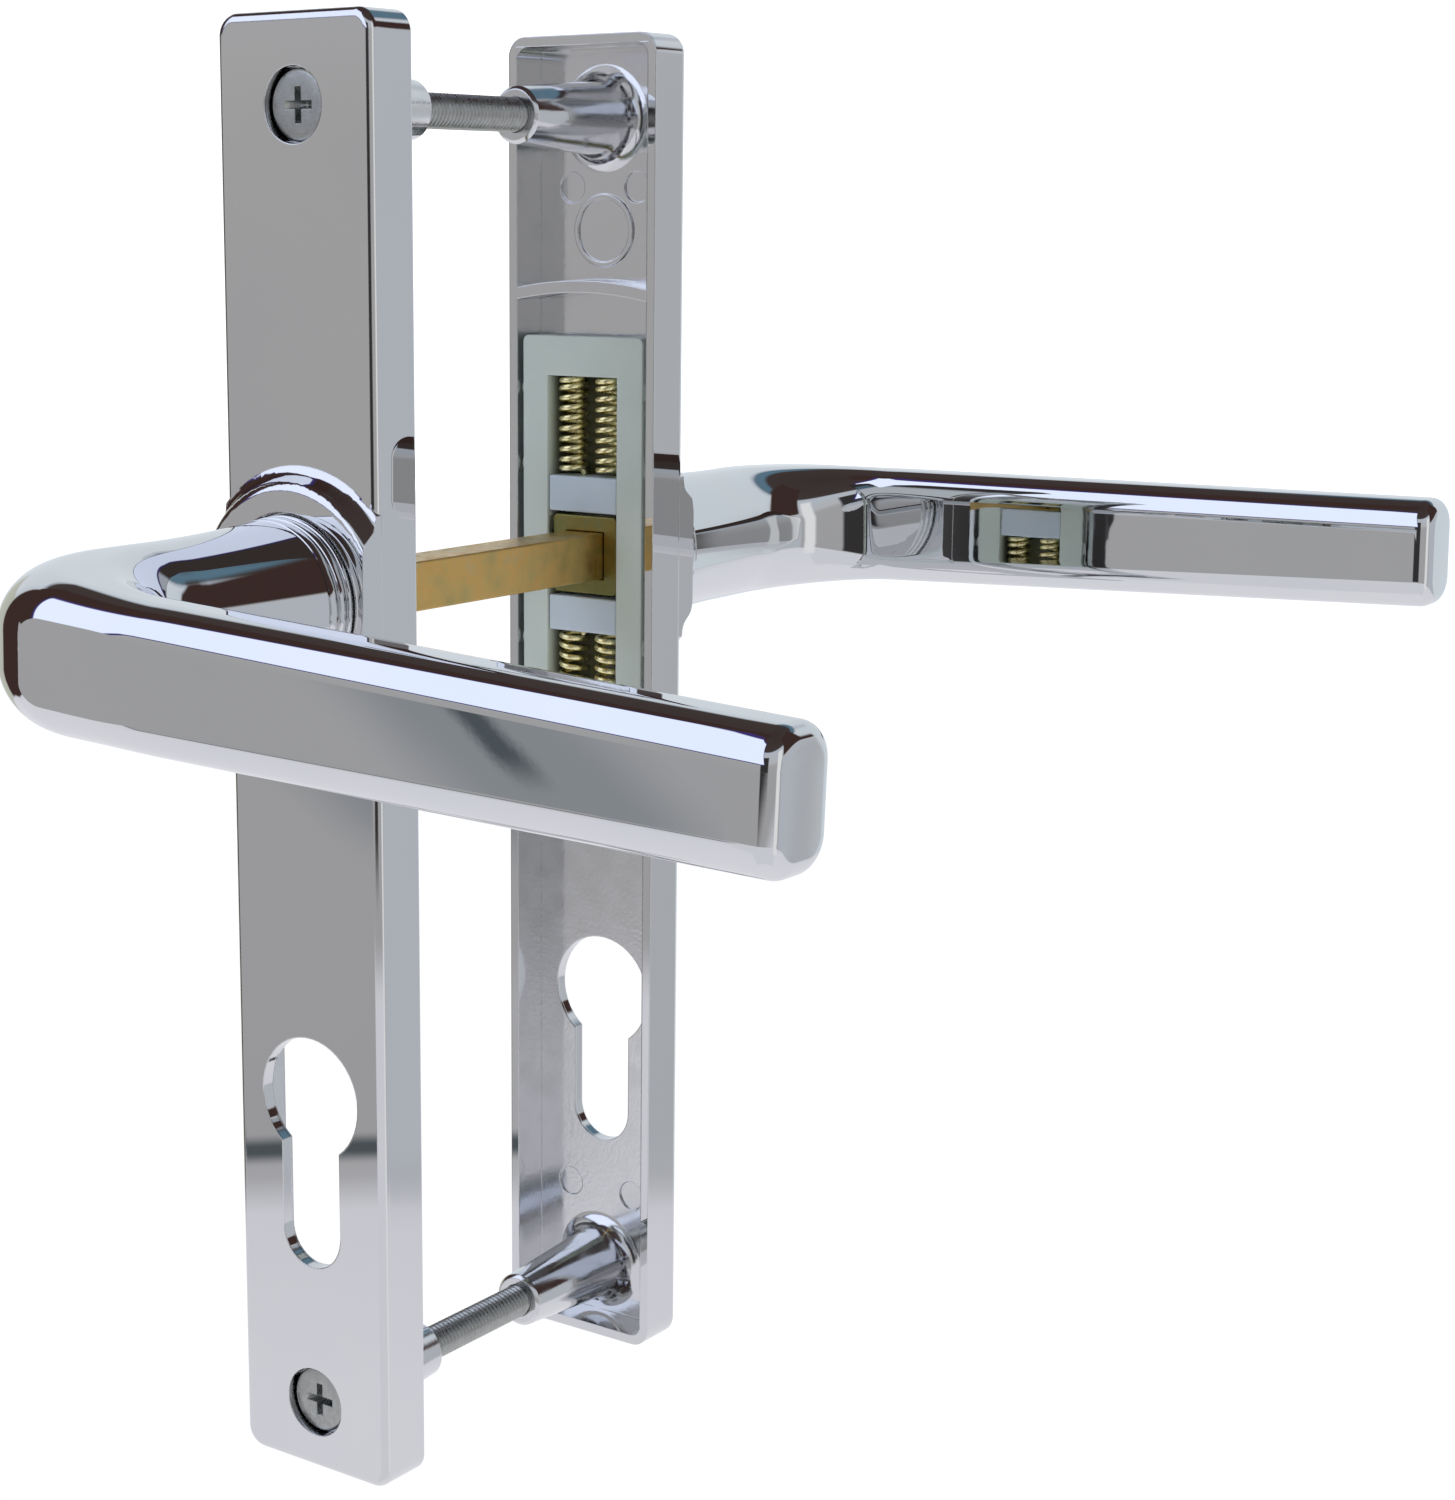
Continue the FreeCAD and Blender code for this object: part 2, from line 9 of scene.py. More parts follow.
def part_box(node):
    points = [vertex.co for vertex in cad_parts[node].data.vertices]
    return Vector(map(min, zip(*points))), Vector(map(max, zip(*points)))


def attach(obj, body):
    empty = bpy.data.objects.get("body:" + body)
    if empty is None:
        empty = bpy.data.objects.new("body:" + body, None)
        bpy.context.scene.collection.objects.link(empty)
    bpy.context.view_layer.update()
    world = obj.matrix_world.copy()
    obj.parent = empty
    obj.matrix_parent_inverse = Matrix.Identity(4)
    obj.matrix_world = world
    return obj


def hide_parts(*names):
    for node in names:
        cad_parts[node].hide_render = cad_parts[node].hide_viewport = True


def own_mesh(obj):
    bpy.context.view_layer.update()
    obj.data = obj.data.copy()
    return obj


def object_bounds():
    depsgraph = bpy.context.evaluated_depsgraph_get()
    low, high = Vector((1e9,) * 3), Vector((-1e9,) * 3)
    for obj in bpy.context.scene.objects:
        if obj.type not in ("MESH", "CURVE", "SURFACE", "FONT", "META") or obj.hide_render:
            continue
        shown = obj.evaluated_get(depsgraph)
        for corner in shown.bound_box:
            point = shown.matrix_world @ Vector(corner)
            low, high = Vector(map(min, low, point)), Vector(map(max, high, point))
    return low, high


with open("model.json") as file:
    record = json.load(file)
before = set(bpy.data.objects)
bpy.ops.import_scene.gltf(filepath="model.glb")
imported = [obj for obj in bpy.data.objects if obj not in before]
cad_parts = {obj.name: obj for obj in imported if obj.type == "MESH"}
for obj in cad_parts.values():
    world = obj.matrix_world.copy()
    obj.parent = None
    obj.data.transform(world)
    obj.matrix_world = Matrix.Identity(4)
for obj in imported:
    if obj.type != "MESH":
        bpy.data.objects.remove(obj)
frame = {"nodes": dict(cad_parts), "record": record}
cad_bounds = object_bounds()

# A pair of sprung door levers on long backplates. The two levers, the eight springs and the screws are
# drawn here in place of their CAD solids; every other piece is the CAD solid with its own material.
# The constants of the levers, springs, screws and soft edges are millimetres, and MM makes them metres.
MM = 0.001

# Camera: the photograph's viewing angle
SENSOR = 36.0
CLIP_START = 0.01
CLIP_END = 50.0
CAMERA_PLACE = (0.2489, -0.3088, 0.0509)
CAMERA_AZIMUTH = math.radians(37.12)
CAMERA_ELEVATION = math.radians(10.97)
CAMERA_LENS = 66.25
CAMERA_SHIFT_X = 0.118


def place_camera():
    data = bpy.data.cameras.new("camera")
    data.sensor_width = SENSOR
    data.lens = CAMERA_LENS
    data.shift_x = CAMERA_SHIFT_X
    data.clip_start = CLIP_START
    data.clip_end = CLIP_END
    camera = bpy.data.objects.new("camera", data)
    bpy.context.scene.collection.objects.link(camera)
    back = Vector((math.sin(CAMERA_AZIMUTH) * math.cos(CAMERA_ELEVATION),
                   -math.cos(CAMERA_AZIMUTH) * math.cos(CAMERA_ELEVATION),
                   math.sin(CAMERA_ELEVATION)))
    camera.location = CAMERA_PLACE
    camera.rotation_mode = "QUATERNION"
    camera.rotation_quaternion = (-back).to_track_quat("-Z", "Y")
    bpy.context.scene.camera = camera


place_camera()
bpy.context.scene.view_settings.view_transform = "Standard"


# ---------------------------------------------------------------- node graphs

class Graph:
    """A node tree with short calls for the few kinds of node used here."""

    def __init__(self, tree):
        self.nodes = tree.nodes
        self.links = tree.links

    def add(self, kind, **settings):
        node = self.nodes.new(kind)
        for name, value in settings.items():
            setattr(node, name, value)
        return node

    def feed(self, socket, value):
        """Link an output to this input, or set the input to a plain value."""
        if isinstance(value, bpy.types.NodeSocket):
            self.links.new(value, socket)
        elif isinstance(value, tuple) and len(value) == 3 and socket.type == "RGBA":
            socket.default_value = (*value, 1.0)
        else:
            socket.default_value = value

    def math(self, operation, first, second=None):
        node = self.add("ShaderNodeMath", operation=operation)
        self.feed(node.inputs[0], first)
        if second is not None:
            self.feed(node.inputs[1], second)
        return node.outputs[0]

    def ranged(self, value, low, high, start=0.0, end=1.0, kind="SMOOTHSTEP"):
        """Start below low, end above high, and a smooth step between them."""
        node = self.add("ShaderNodeMapRange", interpolation_type=kind)
        for name, item in (("Value", value), ("From Min", low), ("From Max", high),
                           ("To Min", start), ("To Max", end)):
            self.feed(node.inputs[name], item)
        return node.outputs["Result"]

    def mixed(self, share, first, second):
        node = self.add("ShaderNodeMix", data_type="RGBA")
        self.feed(node.inputs["Factor"], share)
        self.feed(node.inputs[6], first)
        self.feed(node.inputs[7], second)
        return node.outputs[2]

    def ramp(self, value, stops):
        node = self.add("ShaderNodeValToRGB")
        self.feed(node.inputs["Fac"], value)
        elements = node.color_ramp.elements
        while len(elements) < len(stops):
            elements.new(0.5)
        for element, (position, color) in zip(elements, stops):
            element.position = position
            element.color = (*color, 1.0)
        return node.outputs["Color"]

    def place(self):
        """X, Y and Z of the shaded point in the CAD frame, in metres."""
        split = self.add("ShaderNodeSeparateXYZ")
        self.feed(split.inputs[0], self.add("ShaderNodeTexCoord").outputs["Object"])
        return split.outputs["X"], split.outputs["Y"], split.outputs["Z"]

    def noise(self, scale, detail=2.0, roughness=0.5, stretch=(1, 1, 1)):
        """Noise fixed to the object, with features about 1 / scale metres across."""
        coordinate = self.add("ShaderNodeTexCoord").outputs["Object"]
        if stretch != (1, 1, 1):
            mapping = self.add("ShaderNodeMapping")
            self.feed(mapping.inputs["Vector"], coordinate)
            mapping.inputs["Scale"].default_value = stretch
            coordinate = mapping.outputs["Vector"]
        node = self.add("ShaderNodeTexNoise")
        self.feed(node.inputs["Vector"], coordinate)
        self.feed(node.inputs["Scale"], scale)
        self.feed(node.inputs["Detail"], detail)
        self.feed(node.inputs["Roughness"], roughness)
        return node.outputs["Fac"]

    def bump(self, height, distance, after=None):
        """A normal for a relief this deep, laid over the normal given as after."""
        node = self.add("ShaderNodeBump")
        self.feed(node.inputs["Height"], height)
        node.inputs["Distance"].default_value = distance
        node.inputs["Strength"].default_value = 1.0
        if after is not None:
            self.feed(node.inputs["Normal"], after)
        return node.outputs["Normal"]


def new_material(name, metallic, color, roughness):
    """A principled material, its graph and its shader; uniform values sit on the shader itself."""
    material = bpy.data.materials.new(name)
    material.use_nodes = True
    graph = Graph(material.node_tree)
    shader = graph.nodes["Principled BSDF"]
    shader.inputs["Metallic"].default_value = metallic
    graph.feed(shader.inputs["Base Color"], color)
    shader.inputs["Roughness"].default_value = roughness
    return material, graph, shader


# ---------------------------------------------------------------- materials

CHROME = (0.66, 0.67, 0.69)

# Where the surface of the plates' hollow begins, measured as the CAD is
HOLLOW_HALF_WIDTH = 12.1 * MM
HOLLOW_DEPTH = 33.9 * MM
HOLLOW_WALL = 1.4 * MM
HOLLOW_FADE = 0.1 * MM

# The cassette's window: half its width, and the depths between which its painted shade sets in
WINDOW_HALF_WIDTH = 6.6 * MM
WINDOW_FADE = 0.3 * MM
WINDOW_SHADE_STARTS = 28.0 * MM
WINDOW_SHADE_FULL = 32.0 * MM


def edge_round(graph, radius):
    """A normal that makes sharp edges look rounded to this radius."""
    node = graph.add("ShaderNodeBevel", samples=6)
    node.inputs["Radius"].default_value = radius
    return node.outputs["Normal"]


def polished_chrome():
    """Polished and plated: slow waves in the surface, and a faint haze in patches."""
    material, graph, shader = new_material("polished_chrome", 1.0, CHROME, 0.04)
    haze = graph.ranged(graph.noise(90, 3), 0.45, 0.75, 0.01, 0.035)
    graph.feed(shader.inputs["Roughness"], haze)
    tone = graph.mixed(graph.noise(45, 2), (0.64, 0.655, 0.68), (0.69, 0.695, 0.70))
    graph.feed(shader.inputs["Base Color"], tone)
    waves = graph.bump(graph.noise(55, 1), 0.012 * MM)
    fine = graph.bump(graph.noise(900, 2), 0.0004 * MM, waves)
    graph.feed(shader.inputs["Normal"], fine)
    return material


def plate_chrome():
    """Polished outside, and plated over the rougher as-cast surface inside the hollow."""
    material, graph, shader = new_material("plate_chrome", 1.0, CHROME, 0.05)
    x, y, z = graph.place()
    low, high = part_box("front_backplate")
    foot, top = low.z + HOLLOW_WALL, high.z - HOLLOW_WALL
    aside = graph.math("ABSOLUTE", x)
    across = graph.ranged(aside, HOLLOW_HALF_WIDTH, HOLLOW_HALF_WIDTH + HOLLOW_FADE, 1, 0)
    depth = graph.ranged(graph.math("ABSOLUTE", y), HOLLOW_DEPTH, HOLLOW_DEPTH + HOLLOW_FADE, 1, 0)
    above = graph.ranged(z, foot, foot + HOLLOW_FADE, 0, 1)
    below = graph.ranged(z, top - HOLLOW_FADE, top, 1, 0)
    inside = graph.math("MULTIPLY", graph.math("MULTIPLY", across, depth),
                        graph.math("MULTIPLY", above, below))
    polish = graph.ranged(graph.noise(110, 3), 0.4, 0.75, 0.0, 0.02)
    cast = graph.ranged(graph.noise(260, 4), 0.35, 0.7, 0.09, 0.17)
    rough = graph.add("ShaderNodeMix", data_type="FLOAT")
    graph.feed(rough.inputs[0], inside)
    graph.feed(rough.inputs[2], polish)
    graph.feed(rough.inputs[3], cast)
    graph.feed(shader.inputs["Roughness"], rough.outputs[0])
    tone = graph.mixed(graph.noise(30, 3), (0.64, 0.65, 0.67), (0.69, 0.69, 0.69))
    graph.feed(shader.inputs["Base Color"], tone)
    grain = graph.bump(graph.math("MULTIPLY", graph.noise(1400, 3, 0.6), inside), 0.01 * MM,
                       edge_round(graph, 0.25 * MM))
    ripple = graph.bump(graph.math("MULTIPLY", graph.noise(230, 2), inside), 0.008 * MM, grain)
    waves = graph.bump(graph.noise(28, 1), 0.02 * MM, ripple)
    graph.feed(shader.inputs["Normal"], waves)
    return material


def passivated_steel(name, shade):
    """Yellow passivated zinc: gold, mottled towards olive and orange, with a soft sheen.

    The shade darkens each of red, green and blue by its own share."""
    material, graph, shader = new_material(name, 1.0, (0.62, 0.44, 0.18), 0.36)
    tones = [(0.30, (0.46, 0.37, 0.15)), (0.45, (0.60, 0.42, 0.15)), (0.56, (0.68, 0.43, 0.14)),
             (0.70, (0.58, 0.46, 0.22))]
    shaded = [(position, tuple(part * dim for part, dim in zip(tone, shade))) for position, tone in tones]
    color = graph.ramp(graph.noise(170, 4, 0.6), shaded)
    graph.feed(shader.inputs["Base Color"], color)
    graph.feed(shader.inputs["Roughness"], graph.ranged(graph.noise(700, 4), 0.3, 0.7, 0.30, 0.46))
    drawn = graph.bump(graph.noise(2600, 3, 0.6, (1, 0.06, 1)), 0.012 * MM, edge_round(graph, 0.3 * MM))
    graph.feed(shader.inputs["Normal"], drawn)
    return material


def spring_steel():
    """Bright yellow-passivated spring wire."""
    material, graph, shader = new_material("spring_steel", 1.0, (0.85, 0.78, 0.42), 0.2)
    color = graph.mixed(graph.noise(500, 3), (0.78, 0.70, 0.34), (0.95, 0.88, 0.55))
    graph.feed(shader.inputs["Base Color"], color)
    graph.feed(shader.inputs["Roughness"], graph.ranged(graph.noise(1600, 2), 0.3, 0.7, 0.22, 0.36))
    return material


def zinc_steel(name, dark, light):
    """Grey zinc-plated steel with fine blotches."""
    material, graph, shader = new_material(name, 1.0, light, 0.3)
    graph.feed(shader.inputs["Base Color"], graph.mixed(graph.noise(600, 4), dark, light))
    graph.feed(shader.inputs["Roughness"], graph.ranged(graph.noise(1300, 3), 0.3, 0.7, 0.24, 0.4))
    grain = graph.bump(graph.noise(3800, 2), 0.006 * MM, edge_round(graph, 0.2 * MM))
    graph.feed(shader.inputs["Normal"], grain)
    return material


def shade_deep_in_window(graph):
    """A share for painted shade that is 1 at the bottom of the cassette's window, behind the springs, and 0
    on its face.
    """
    x, y, _ = graph.place()
    aside = graph.math("ABSOLUTE", x)
    beside = graph.ranged(aside, WINDOW_HALF_WIDTH, WINDOW_HALF_WIDTH + WINDOW_FADE, 1, 0)
    deep = graph.ranged(graph.math("ABSOLUTE", y), WINDOW_SHADE_STARTS, WINDOW_SHADE_FULL, 0, 1)
    return graph.math("MULTIPLY", beside, deep)


def moulded_plastic(name, dark, light, grain_scale, paints_window_shade):
    """Natural nylon: milky, slightly translucent, with faint flow clouds and a satin skin.

    Deep in the cassette's window, behind the springs, painted shade can darken it to olive."""
    material, graph, shader = new_material(name, 0.0, light, 0.42)
    color = graph.mixed(graph.noise(110, 3), dark, light)
    # painted shade: dark olive laid deep in the window, behind the springs
    if paints_window_shade:
        color = graph.mixed(shade_deep_in_window(graph), color, (0.10, 0.10, 0.05))
    graph.feed(shader.inputs["Base Color"], color)
    graph.feed(shader.inputs["Roughness"], graph.ranged(graph.noise(900, 3), 0.3, 0.7, 0.36, 0.5))
    shader.inputs["Subsurface Weight"].default_value = 0.35
    shader.inputs["Subsurface Radius"].default_value = (1.0, 1.1, 0.9)
    shader.inputs["Subsurface Scale"].default_value = 1.2 * MM
    skin = graph.bump(graph.noise(grain_scale, 3), 0.01 * MM, edge_round(graph, 0.3 * MM))
    graph.feed(shader.inputs["Normal"], skin)
    return material


chrome_of_plates = plate_chrome()
materials = {
    "chrome": polished_chrome(),
    "passivated_steel": passivated_steel("passivated_steel", (1.0, 1.0, 1.0)),
    "spring_steel": spring_steel(),
    "screw_steel": zinc_steel("screw_steel", (0.34, 0.35, 0.34), (0.46, 0.47, 0.46)),
    "plain_steel": zinc_steel("plain_steel", (0.30, 0.30, 0.31), (0.44, 0.44, 0.45)),
    "nylon": moulded_plastic("nylon", (0.58, 0.66, 0.60), (0.70, 0.77, 0.70), 1500, True),
    "bush_plastic": moulded_plastic("bush_plastic", (0.70, 0.70, 0.67), (0.80, 0.80, 0.76), 1900, False),
}
follower_steel = passivated_steel("follower_steel", (0.34, 0.45, 0.45))
slider_nylon = moulded_plastic("slider_nylon", (0.56, 0.65, 0.72), (0.64, 0.73, 0.79), 1700, False)


def finish_for(node, slot):
    """The slot's material, except on the plates, sliders and followers, which have their own."""
    if node.endswith("backplate"):
        return chrome_of_plates
    if node.endswith("slider"):
        return slider_nylon
    if node.endswith("follower"):
        return follower_steel
    return materials[slot]


for entry in frame["record"]["subparts"]:
    piece = frame["nodes"][entry["node"]]
    piece.data.materials.clear()
    piece.data.materials.append(finish_for(entry["node"], entry["material_slot"]))


# ---------------------------------------------------------------- meshes

def new_object(name, vertices, faces):
    """An object from millimetre coordinates."""
    mesh = bpy.data.meshes.new(name)
    mesh.from_pydata([tuple(value * MM for value in vertex) for vertex in vertices], [], faces)
    piece = bpy.data.objects.new(name, mesh)
    bpy.context.scene.collection.objects.link(piece)
    return piece


def mesh_piece(name, vertices, faces, body, slot, smooth_angle):
    """A new piece that rides on a CAD body, shaded smooth across edges of less than smooth_angle degrees."""
    piece = new_object(name, vertices, faces)
    mesh = piece.data
    mesh.validate()
    mesh.shade_smooth()
    mesh.set_sharp_from_angle(angle=math.radians(smooth_angle))
    mesh.materials.append(materials[slot])
    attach(piece, body)
    return piece


def tube_faces(ring_count, ring_size):
    """Quads between rings of points that follow one another."""
    faces = []
    for ring in range(ring_count - 1):
        here, there = ring * ring_size, (ring + 1) * ring_size
        for index in range(ring_size):
            after = (index + 1) % ring_size
            faces.append((here + index, here + after, there + after, there + index))
    return faces


# ---------------------------------------------------------------- levers

# Sizes as in the CAD; a depth is a distance from the middle of the door
NECK_BASE_DEPTH = 41.5
NECK_START_RADIUS = 11.4
NECK_END_RADIUS = 10.4
GRIP_FACE_DEPTH = 89.2
GRIP_THICKNESS = 10.7
GRIP_END = 112.1
GRIP_HEIGHT_AT_BEND = 18.0
GRIP_HEIGHT_AT_END = 15.7
GRIP_FILLET = 4.2
TIP_ROUNDING = 2.3
BEND_OUTER_RADIUS = 18.3
BEND_BULGE = 0.9
BEND_INNER_RADIUS = 12.0
BEND_PIVOT = (25.0, 63.0)
GRIP_OFFSET = -0.9
GRIP_SLANT = 1.4
FRONT_GRIP_TILT = 2.0
REAR_GRIP_TILT = 1.0
SMALLEST_FLAT = 0.15
SHANK_END = 31.5
SHANK_RADIUS = 8.0
SHANK_CHAMFER = 0.3
CLIP_GROOVE = (31.7, 32.9)
CLIP_GROOVE_RADIUS = 7.0
SOCKET_HALF = 3.575
SOCKET_FLOOR_HALF = 0.2
SOCKET_END = 62.0

# Where each bead ends, and its radius; each is a half round made squarer by a power below 1
BEAD_START = 37.6
BEADS = ((39.05, 11.8), (40.55, 11.65), (42.3, 11.5))
BEAD_GROOVE_DEPTH = 0.45
BEAD_GAP = 0.02
BEAD_POWER = 0.6
BEAD_STEPS = 10
NECK_START = 42.5

# Rings of points in each stretch, and points round each ring: front flat, arc, top, arc, back flat,
# arc, bottom, arc
NECK_RINGS = 17
BEND_RINGS = 26
FACE_RINGS = 44
GRIP_RINGS = 24
TIP_RINGS = 12
SECTION_COUNTS = (16, 14, 8, 14, 16, 14, 8, 14)
RING_SIZE = sum(SECTION_COUNTS)
FRONT_MIDDLE = SECTION_COUNTS[0] // 2

# The edge of the grip's flat face: the angles between which its bevel sets in, and the bevel's width
CREASE_STARTS = math.radians(1.5)
CREASE_FULL = math.radians(9)
CREASE_WIDTH = 0.14
LEVER_SMOOTH_ANGLE = 24.0


def smooth(t):
    """A smooth step from 0 to 1."""
    return t * t * (3 - 2 * t)


def mix(a, b, t):
    return a + (b - a) * t


def bend_reach(angle, side, face, radius):
    """How far from the bend's pivot, at this angle, an outline with a rounded corner lies."""
    start_x, start_depth = BEND_PIVOT
    along_x, along_depth = -math.cos(angle), math.sin(angle)
    centre_x, centre_depth = side + radius, face - radius
    if along_x < -1e-9:
        reach = (side - start_x) / along_x
        if start_depth + reach * along_depth <= centre_depth:
            return reach
    if along_depth > 1e-9:
        reach = (face - start_depth) / along_depth
        if start_x + reach * along_x >= centre_x:
            return reach
    from_x, from_depth = start_x - centre_x, start_depth - centre_depth
    middle = from_x * along_x + from_depth * along_depth
    apart = from_x ** 2 + from_depth ** 2 - radius ** 2
    return -middle + math.sqrt(middle ** 2 - apart)


def section_points(half_thick, half_high, corner, clip, knotted):
    """Points (across, up) round a rounded rectangle whose front is cut off flat at clip.

    They are spread evenly where knotted is 0, and start and end each flat and arc where it is 1."""
    corner = min(corner, half_thick - SMALLEST_FLAT, half_high - SMALLEST_FLAT)
    flat_thick, flat_high = half_thick - corner, half_high - corner
    clip = min(clip, half_thick)
    start = math.acos(max(-1.0, min(1.0, (clip - flat_thick) / corner)))
    edge = flat_high + corner * math.sin(start)
    quarter = math.pi / 2
    arcs = {1: (flat_thick, flat_high, start, quarter),
            3: (-flat_thick, flat_high, quarter, 2 * quarter),
            5: (-flat_thick, -flat_high, 2 * quarter, 3 * quarter),
            7: (flat_thick, -flat_high, 3 * quarter, 4 * quarter - start)}
    lines = {0: ((clip, -edge), (clip, edge)),
             2: ((flat_thick, half_high), (-flat_thick, half_high)),
             4: ((-half_thick, flat_high), (-half_thick, -flat_high)),
             6: ((-flat_thick, -half_high), (flat_thick, -half_high))}
    lengths = [math.dist(*lines[k]) if k in lines else corner * (arcs[k][3] - arcs[k][2])
               for k in range(len(SECTION_COUNTS))]
    total = sum(lengths)
    last = len(lengths) - 1

    def at(distance):
        """The point this far round from the front flat's start."""
        distance %= total
        for k, length in enumerate(lengths):
            if distance <= length or k == last:
                share = min(1.0, distance / length)
                if k in lines:
                    (x0, y0), (x1, y1) = lines[k]
                    return mix(x0, x1, share), mix(y0, y1, share)
                x, y, turn_from, turn_to = arcs[k]
                angle = mix(turn_from, turn_to, share)
                return x + corner * math.cos(angle), y + corner * math.sin(angle)
            distance -= length

    points, done, index = [], 0.0, 0
    for length, count in zip(lengths, SECTION_COUNTS):
        for step in range(count):
            even = edge + total * (index - FRONT_MIDDLE) / RING_SIZE
            points.append(at(mix(even, done + length * step / count, knotted)))
            index += 1
        done += length
    return points


def placed(points, centre_x, centre_depth, angle, raised=0.0):
    """Section points put on the lever, their front turned by angle from -X towards -Y."""
    return [(centre_x - across * math.cos(angle), -(centre_depth + across * math.sin(angle)), raised + up)
            for across, up in points]


def circle_ring(radius, depth):
    angles = [2 * math.pi * (index - FRONT_MIDDLE) / RING_SIZE for index in range(RING_SIZE)]
    return placed([(radius * math.cos(a), radius * math.sin(a)) for a in angles], 0, depth, 0)


def square_ring(half, depth):
    points = []
    for index in range(RING_SIZE):
        angle = 2 * math.pi * (index - FRONT_MIDDLE) / RING_SIZE
        scale = half / max(abs(math.cos(angle)), abs(math.sin(angle)))
        points.append((scale * math.cos(angle), scale * math.sin(angle)))
    return placed(points, 0, depth, 0)


def neck_ring(t):
    depth = mix(NECK_BASE_DEPTH, BEND_PIVOT[1], t)
    radius = mix(NECK_END_RADIUS, NECK_START_RADIUS, (1 - t) ** 2)
    lean = -math.radians(GRIP_SLANT) * smooth(t)
    return placed(section_points(radius, radius, radius, radius, 0.0), 0, depth, lean)


def bend_shape(t):
    """Half thickness, half height, corner, middle reach and clip of the bend's section at t."""
    angle = math.pi / 2 * t
    bulge = BEND_BULGE * (1 - smooth(t))
    outer = bend_reach(angle, -NECK_END_RADIUS, GRIP_FACE_DEPTH + bulge, BEND_OUTER_RADIUS)
    inner = bend_reach(angle, NECK_END_RADIUS, GRIP_FACE_DEPTH - GRIP_THICKNESS, BEND_INNER_RADIUS)
    middle = (outer + inner) / 2
    clip = 2 * outer
    if t > 0:
        clip = (GRIP_FACE_DEPTH - BEND_PIVOT[1]) / math.sin(angle) - middle
    return ((outer - inner) / 2, mix(NECK_END_RADIUS, GRIP_HEIGHT_AT_BEND / 2, smooth(t)),
            mix(NECK_END_RADIUS, GRIP_FILLET, smooth(t)), middle, clip)


def face_start():
    """The t where the bend first reaches the plane of the grip's flat face."""
    low, high = 0.01, 1.0
    while bend_shape(high)[0] <= bend_shape(high)[4] and high > low:
        high -= 0.01
    for step in range(40):
        t = (low + high) / 2
        half_thick, clip = bend_shape(t)[0], bend_shape(t)[4]
        low, high = (t, high) if half_thick < clip else (low, t)
    return high


FACE_START = face_start()


def bend_ring(t):
    angle = math.pi / 2 * t
    half_thick, half_high, corner, middle, clip = bend_shape(t)
    knotted = smooth(min(1.0, t / FACE_START))
    points = section_points(half_thick, half_high, corner, clip, knotted)
    centre_x = BEND_PIVOT[0] - middle * math.cos(angle)
    centre_depth = BEND_PIVOT[1] + middle * math.sin(angle)
    return placed(points, centre_x, centre_depth, angle, GRIP_OFFSET * smooth(t))


def grip_ring(x, height, inset=0.0):
    half_thick = GRIP_THICKNESS / 2 - inset
    points = section_points(half_thick, height / 2 - inset, GRIP_FILLET - inset, half_thick, 1.0)
    return placed(points, x, GRIP_FACE_DEPTH - GRIP_THICKNESS / 2, math.pi / 2, GRIP_OFFSET)


def bead_rings():
    """Three rounded beads, each a half round between two fine grooves."""
    rings, start = [], BEAD_START
    for end, radius in BEADS:
        for step in range(BEAD_STEPS + 1):
            side = 2 * step / BEAD_STEPS - 1
            swell = math.sqrt(max(0.0, 1 - side ** 2)) ** BEAD_POWER
            depth = mix(start, end, step / BEAD_STEPS)
            rings.append(circle_ring(radius - BEAD_GROOVE_DEPTH * (1 - swell), depth))
        start = end + BEAD_GAP
    return rings


def shank_rings():
    """The round shank with its clip groove, from its chamfered end to the first bead."""
    inner, outer = CLIP_GROOVE
    profile = [(SHANK_RADIUS - SHANK_CHAMFER, SHANK_END),
               (SHANK_RADIUS, SHANK_END + SHANK_CHAMFER / 2), (SHANK_RADIUS, inner),
               (CLIP_GROOVE_RADIUS, inner), (CLIP_GROOVE_RADIUS, outer), (SHANK_RADIUS, outer),
               (SHANK_RADIUS, BEAD_START)]
    return [circle_ring(radius, depth) for radius, depth in profile]


def arm_rings():
    """Bend, grip and tip, slanted away from the door about the end of the neck."""
    rings = [bend_ring(FACE_START * step / BEND_RINGS) for step in range(1, BEND_RINGS + 1)]
    rings += [bend_ring(mix(FACE_START, 1.0, (step / FACE_RINGS) ** 2)) for step in range(1, FACE_RINGS + 1)]
    straight = GRIP_END - TIP_ROUNDING
    for step in range(1, GRIP_RINGS + 1):
        t = step / GRIP_RINGS
        height = mix(GRIP_HEIGHT_AT_BEND, GRIP_HEIGHT_AT_END, t)
        rings.append(grip_ring(mix(BEND_PIVOT[0], straight, t), height))
    for step in range(1, TIP_RINGS + 1):
        angle = math.pi / 2 * step / TIP_RINGS
        rings.append(grip_ring(GRIP_END - TIP_ROUNDING * (1 - math.sin(angle)), GRIP_HEIGHT_AT_END,
                               TIP_ROUNDING * (1 - math.cos(angle))))
    pivot = Vector((0, -BEND_PIVOT[1], 0))
    slant = Matrix.Rotation(-math.radians(GRIP_SLANT), 3, "Z")
    return [[tuple(slant @ (Vector(point) - pivot) + pivot) for point in ring] for ring in rings]


